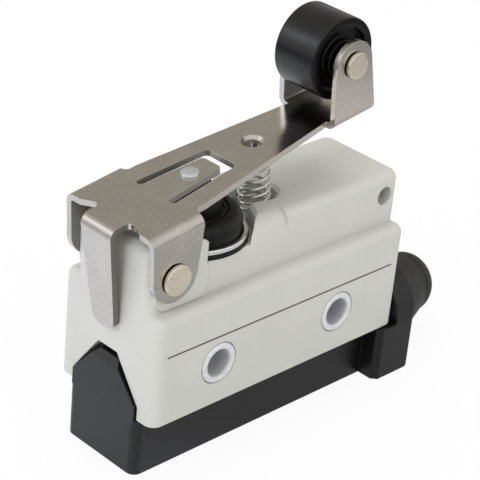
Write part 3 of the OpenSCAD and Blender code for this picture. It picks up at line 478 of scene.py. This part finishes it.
def mounting_bush(node):
    low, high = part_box(node)
    half = (high.y - low.y) / 2 / MM
    hole, tube, lip, lip_t = 2.2, 2.9, 3.3, 0.65
    mouth_round, lip_round, dull_depth = 0.5, 0.45, 0.2
    outline = fillet([(hole, -half, mouth_round), (lip, -half, lip_round), (lip, lip_t - half),
                      (tube, lip_t - half), (tube, half - lip_t), (lip, half - lip_t),
                      (lip, half, lip_round), (hole, half, mouth_round)], 0.1, steps=20)
    centre = middle(node)
    piece = turned(node + "_eyelet", outline, centre, ALONG_Y)
    replace(piece, node, "body", "bright_steel", "tinned_lip")

    def in_bore(face):
        return (face.center - centre).xz.length < (hole + dull_depth) * MM

    second_finish(piece, "dull_bore", in_bore)


mounting_bush("mount_bush_left")
mounting_bush("mount_bush_right")


# Pins: a plain shank and a low head at each end, which stands off its ear on a narrower neck

def staked_pin(node, shank, head, head_t):
    low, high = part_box(node)
    half = (high.y - low.y) / 2 / MM
    flat, neck, rim_t = 0.8 * head, head - 0.45, 0.62
    side = [(0, -half, 0), (flat, -half, 0), (head, -half, 0.26), (head, rim_t - half, 0.08),
            (neck, rim_t - half, 0.03), (neck, head_t - half, 0.03), (shank, head_t - half, 0.05)]
    outline = fillet(mirrored_ends(side), 0.1, closed=False)
    centre = middle(node)
    piece = turned(node + "_turned", outline, centre, ALONG_Y, closed=False)
    replace(piece, node, "lever", "pale_pin")

    def behind_rim(face):
        overlap, inset = 0.01, 0.02
        offset = face.center - centre
        return abs(offset.y) < (half - rim_t + overlap) * MM and offset.xz.length < (head - inset) * MM

    # The neck behind each head gets painted shade: a near-black finish where shade falls between head and
    # ear.
    second_finish(piece, "painted_gap_shade", behind_rim)


staked_pin("pivot_pin", 1.2, 2.4, 0.8)
staked_pin("roller_pin", 1.5, 2.1, 0.8)


# Rivet button on the tongue: a crowned head above and a dome below

def button():
    reach, head_r, crown_r, shank_r, head_t, dome_t = 11.9, 1.4, 0.8, 0.68, 0.6, 1.0
    seat = joint_place("lever_pivot") + LEVER_ALONG * reach * MM + LEVER_UP * LEVER_TOP * MM
    outline = fillet([(0, head_t), (crown_r, head_t - 0.06, 0.8), (head_r, head_t - 0.24, 0.16),
                      (head_r, 0, 0.05), (shank_r, 0, 0), (shank_r, -SHEET, 0), (head_r, -SHEET, 0.05),
                      (head_r, -SHEET - dome_t / 2, 0.3), (crown_r, -SHEET - dome_t + 0.1, 0.6),
                      (0, -SHEET - dome_t)], 0.1, closed=False)
    replace(turned("button_rivet", outline, seat, LEVER_UP, closed=False, segments=64),
            "lever_button", "lever", "bright_steel", "zinc_plate")


button()


# Roller: rounded rim, recessed ends and a hub round the pin

def roller():
    half, rim_r, rim_w, recess, hub_r, hub_half, bore = 4.0, 6.55, 1.4, 1.2, 3.0, 4.1, 1.56
    end_normal = 0.75  # least part along Y of the normal of an end face
    inner = rim_r - rim_w
    side = [(bore, -hub_half, 0.1), (hub_r, -hub_half, 0.2), (hub_r, recess - half, 0.3),
            (inner, recess - half, 0.3), (inner, -half, 0.2), (rim_r, -half, 0.35)]
    outline = fillet(mirrored_ends(side), 0.2)
    piece = replace(turned("roller_moulded", outline, middle("roller"), ALONG_Y, segments=128),
                    "roller", "roller", "roller_plastic")
    second_finish(piece, "roller_ends", lambda face: abs(face.normal.y) > end_normal)


roller()


# Return spring: round wire with closed ends, leaning along the lever's rest slope

def return_spring():
    seat, clear = Vector((2.816, 0, 17.05)), 0.1
    foot = seat * MM + LEVER_UP * clear * MM
    coil_r, wire_r, turns, length, closed_share = 2.4, 0.22, 9, 10.37, 0.35
    around, steps = 14, 44
    place = standing(foot, LEVER_UP)
    count = turns * steps
    end = 1 / turns
    rings = []
    for i in range(count + 1):
        u = i / count
        if u < end:
            rise = closed_share * u
        elif u > 1 - end:
            rise = 1 - closed_share * (1 - u)
        else:
            rise = closed_share * end + (u - end) * (1 - 2 * closed_share * end) / (1 - 2 * end)
        angle = 2 * math.pi * turns * u
        height = wire_r + (length - 2 * wire_r) * rise
        ring = []
        for k in range(around):
            w = 2 * math.pi * k / around
            radius = coil_r + wire_r * math.cos(w)
            ring.append(place @ (Vector((radius * math.cos(angle), radius * math.sin(angle),
                                         height + wire_r * math.sin(w))) * MM))
        rings.append(ring)
    piece = mesh_piece("spring_wire", capped(rings))
    piece.data.materials.append(materials["spring_steel"])
    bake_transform(piece)
    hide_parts("return_spring")


return_spring()


# Rubber boot over the plunger: flange, rolled shoulder, grooves and cap

def boot():
    low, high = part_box("rubber_boot")
    base = Vector(((low.x + high.x) / 2, 0, low.z))
    top = (high.z - low.z) / MM
    flange_r, flange_t, body_r, wall, shoulder_r, shoulder_h, cap_r = 9.0, 0.7, 8.0, 0.9, 6.15, 4.6, 4.6
    groove, rib_drop, turn, turn_steps, cap_round = 0.45, 0.1, 1.85, 8, 0.8
    outer_rim, outer_foot = 5.95, 5.75
    rib_outer_foot, rib_outer, rib_inner, rib_inner_foot = 5.55, 5.42, 5.14, 5.0
    inner_r = body_r - wall
    floor = shoulder_h - groove
    rib_top = shoulder_h - rib_drop
    roof = floor - wall
    shoulder = []
    for k in range(turn_steps + 1):
        angle = math.pi / 2 * k / turn_steps
        shoulder.append((body_r - turn + turn * math.cos(angle),
                         shoulder_h - turn + turn * math.sin(angle), 0))
    outline = fillet([
        (inner_r, 0, 0), (flange_r, 0, 0.1), (flange_r, flange_t, 0.2), (body_r, flange_t, 0.1), *shoulder,
        (outer_rim, shoulder_h, 0.12), (outer_foot, floor, 0.12), (rib_outer_foot, floor, 0.1),
        (rib_outer, rib_top, 0.12), (rib_inner, rib_top, 0.12), (rib_inner_foot, floor, 0.1),
        (cap_r + 0.1, floor, 0.15), (cap_r, top - cap_round, cap_round), (cap_r - cap_round, top, cap_round),
        (0, top, 0), (0, top - wall, 0), (cap_r - wall, top - wall, 0.3), (cap_r - wall, roof, 0.2),
        (shoulder_r - wall, roof, 0.3), (inner_r, roof - 1.2, 0.3)], 0.2, steps=8)
    piece = turned("boot_moulded", outline, base, ALONG_Z, segments=128)
    replace(piece, "rubber_boot", "body", "black_rubber")
    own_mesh(piece)


boot()


# Clamping ring on the boot's flange

def boot_ring():
    low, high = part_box("boot_ring")
    outer = (high.x - low.x) / 2 / MM
    height = (high.z - low.z) / MM
    inner = outer - 0.8
    outline = fillet([(inner, 0), (outer, 0), (outer, height), (inner, height)], 0.25)
    place = Vector(((low.x + high.x) / 2, 0, low.z))
    replace(turned("ring_rolled", outline, place, ALONG_Z, segments=128), "boot_ring", "body", "bright_steel")


boot_ring()


# Cable bush: an oval root that tapers to a round blunt end

def stadium(x, side, radius, height, count=96):
    """Ring across X: two half circles apart by twice the side offset, in millimetres."""
    ring = []
    for k in range(count):
        angle = 2 * math.pi * (k + 0.5) / count
        shift = math.copysign(side, math.cos(angle))
        ring.append(Vector((x, shift + radius * math.cos(angle), height + radius * math.sin(angle))) * MM)
    return ring


def cable_bush():
    start_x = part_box("cable_bush")[0].x / MM
    root_x, reach, height = 31.6, 14.5, -9.5
    root_r, side, tip_r, blunt, bore, spigot = 7.05, 2.65, 5.35, 4.0, 3.0, 5.0
    root_round, mouth_w, taper_steps, dome_steps = 0.15, 0.35, 14, 16
    dome_x = root_x + reach - blunt
    dome_r = tip_r - blunt
    sections = [(start_x, 0, bore), (start_x, 0, spigot), (root_x, 0, spigot),
                (root_x, side, root_r - root_round), (root_x + root_round, side, root_r)]
    for i in range(1, taper_steps):
        t = i / taper_steps
        sections.append((root_x + t * (dome_x - root_x), (1 - t) * side, (1 - t) * root_r + t * tip_r))
    mouth = math.acos((bore + mouth_w - dome_r) / blunt)
    for i in range(dome_steps + 1):
        angle = mouth * i / dome_steps
        sections.append((dome_x + blunt * math.sin(angle), 0, dome_r + blunt * math.cos(angle)))
    end_x = dome_x + blunt * math.sin(mouth)
    sections += [(end_x + 0.02, 0, bore + 0.15), (end_x - 0.3, 0, bore)]
    rings = [stadium(x, offset, radius, height) for x, offset, radius in sections]
    piece = mesh_piece("bush_moulded", skin(rings, closed=True))
    replace(piece, "cable_bush", "body", "black_rubber", "bush_rubber")


cable_bush()


# Thin printed line along the front

def front_line():
    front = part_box("housing")[0].y / MM
    left, right, height, half, proud, sunk, end_steps = -23.2, 24.6, 4.65, 0.13, 0.015, 0.05, 8
    flat = []
    for end, turn in ((right, -math.pi / 2), (left, math.pi / 2)):
        for k in range(end_steps + 1):
            angle = turn + math.pi * k / end_steps
            flat.append((end + half * math.cos(angle), height + half * math.sin(angle)))
    rings = [[Vector((x, depth, z)) * MM for x, z in flat] for depth in (front + sunk, front - proud)]
    line = mesh_piece("front_line", capped(rings))
    line.data.materials.append(materials["printed_line"])
    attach(line, "body")


front_line()


# Stage: pale floor, white surroundings, soft lamps and the camera

def seen_directly(tree):
    """One where a ray comes from the camera, a mirror or a clear surface, else zero."""
    path = add(tree, "ShaderNodeLightPath").outputs
    first = calc(tree, "MAXIMUM", path["Is Camera Ray"], path["Is Glossy Ray"])
    return calc(tree, "MAXIMUM", first, path["Is Transmission Ray"])


def surroundings(diffuse_level):
    """White world with a dusky patch high at the back right, which the lever mirrors."""
    dusk_way, dusk_tone = (0.45, 0.62, 0.64), (0.49, 0.47, 0.43, 1)
    white = (1, 1, 1, 1)
    world = bpy.data.worlds.new("studio")
    world.use_nodes = True
    tree = world.node_tree
    tree.nodes.clear()
    light = add(tree, "ShaderNodeBackground", {"Color": white, "Strength": diffuse_level})
    way = add(tree, "ShaderNodeTexCoord").outputs["Generated"]
    inputs = {"Value": measure(tree, "DOT_PRODUCT", way, dusk_way), "From Min": 0.35, "From Max": 0.95}
    dusk = add(tree, "ShaderNodeMapRange", inputs, interpolation_type="SMOOTHSTEP")
    seen = blend(tree, dusk.outputs["Result"], white, dusk_tone)
    backdrop = add(tree, "ShaderNodeBackground", {"Color": seen, "Strength": 1.0})
    share = seen_directly(tree)
    mix = add(tree, "ShaderNodeMixShader", {0: share, 1: light.outputs[0], 2: backdrop.outputs[0]})
    add(tree, "ShaderNodeOutputWorld", {"Surface": mix.outputs[0]})
    bpy.context.scene.world = world


def pale_floor(height, radius, glow, mirror_stops):
    """White floor that keeps shadows; mirrors see it in the given tones, from back left to front right."""
    ramp_start, ramp_end = -0.035, 0.165
    near, far, far_level = 0.13, 0.18, 0.25
    bm = bmesh.new()
    bmesh.ops.create_circle(bm, cap_ends=True, segments=64, radius=radius)
    bmesh.ops.translate(bm, verts=bm.verts, vec=Vector((0, 0, height)))
    floor = mesh_piece("floor", bm)
    material, tree, shader, place = start_material("pale_floor")
    paper = noise(tree, place, 4, detail=5)
    tone = blend(tree, paper, (0.86, 0.86, 0.86, 1), (0.9, 0.9, 0.9, 1))
    finish_surface(tree, shader, tone, spread(tree, paper, 0.3, 0.7, 0.85, 0.95), [(paper, 0.02, 0.1)])
    spot = parts(tree, place)
    ahead = calc(tree, "SUBTRACT", spot["X"], spot["Y"])
    ramp = add(tree, "ShaderNodeValToRGB", {"Fac": spread(tree, ahead, ramp_start, ramp_end, 0, 1)})
    stops = ramp.color_ramp.elements
    for position, colour in mirror_stops:
        stops.new(position).color = opaque(colour)
    stops.remove(stops[0])
    stops.remove(stops[-1])
    dimmed = spread(tree, measure(tree, "LENGTH", place), near, far, 1.0, far_level)
    tones = blend(tree, 1.0, ramp.outputs["Color"], dimmed, "MULTIPLY")
    mirrored = add(tree, "ShaderNodeLightPath").outputs["Is Glossy Ray"]
    level = blend(tree, mirrored, (1, 1, 1, 1), tones)
    emission = add(tree, "ShaderNodeEmission", {"Color": level, "Strength": 1.0})
    share = calc(tree, "MULTIPLY", seen_directly(tree), glow)
    mix = add(tree, "ShaderNodeMixShader", {0: share, 1: shader.outputs[0], 2: emission.outputs[0]})
    tree.links.new(mix.outputs[0], tree.nodes["Material Output"].inputs["Surface"])
    floor.data.materials.append(material)


def soft_lamp(name, place, target, size, watts, mirrored=True, tint=(1, 1, 1)):
    data = bpy.data.lights.new(name, "AREA")
    data.color = tint
    data.shape = "DISK"
    data.size = size
    data.energy = watts
    lamp = bpy.data.objects.new(name, data)
    lamp.visible_glossy = mirrored
    lamp.matrix_world = aimed(Vector(place), target)
    bpy.context.scene.collection.objects.link(lamp)


def photo_camera():
    """Camera at the photograph's viewing angle, from the hole pitch and the body's edges."""
    place = Vector((-182.59, -173.75, 147.30)) * MM
    target = Vector((4.161, 3.142, 9.686)) * MM
    roll = math.radians(5.64)
    data = bpy.data.cameras.new("photo_camera")
    data.sensor_width = 36
    data.lens = 140.44
    data.shift_x = -0.0041
    data.shift_y = -0.0051
    data.clip_start = 0.01
    data.clip_end = 20
    camera = bpy.data.objects.new("photo_camera", data)
    camera.matrix_world = aimed(place, target) @ Matrix.Rotation(roll, 4, "Z")
    bpy.context.scene.collection.objects.link(camera)
    bpy.context.scene.camera = camera


surroundings(0.55)
pale_floor(cad_box[0].z, radius=3.0, glow=0.93,
           mirror_stops=((0.001, (1.07, 1.09, 1.20)), (0.22, (0.56, 0.56, 0.56)),
                         (0.55, (0.56, 0.56, 0.56)), (0.999, (0.84, 0.84, 0.84))))
centre = (cad_box[0] + cad_box[1]) / 2
soft_lamp("key", (-0.60, -0.06, 0.46), centre, size=0.5, watts=2.4, mirrored=False, tint=(0.93, 0.95, 1.0))
soft_lamp("rim", (-0.46, 0.44, 0.36), centre, size=0.26, watts=0.36, tint=(0.9, 0.92, 1.0))
soft_lamp("fill", (0.10, -0.60, 0.34), centre, size=0.5, watts=1.08, mirrored=False)
soft_lamp("top", (0.15, 0.25, 0.65), centre, size=0.8, watts=2.0, mirrored=False)
photo_camera()
bpy.context.scene.view_settings.view_transform = "Standard"
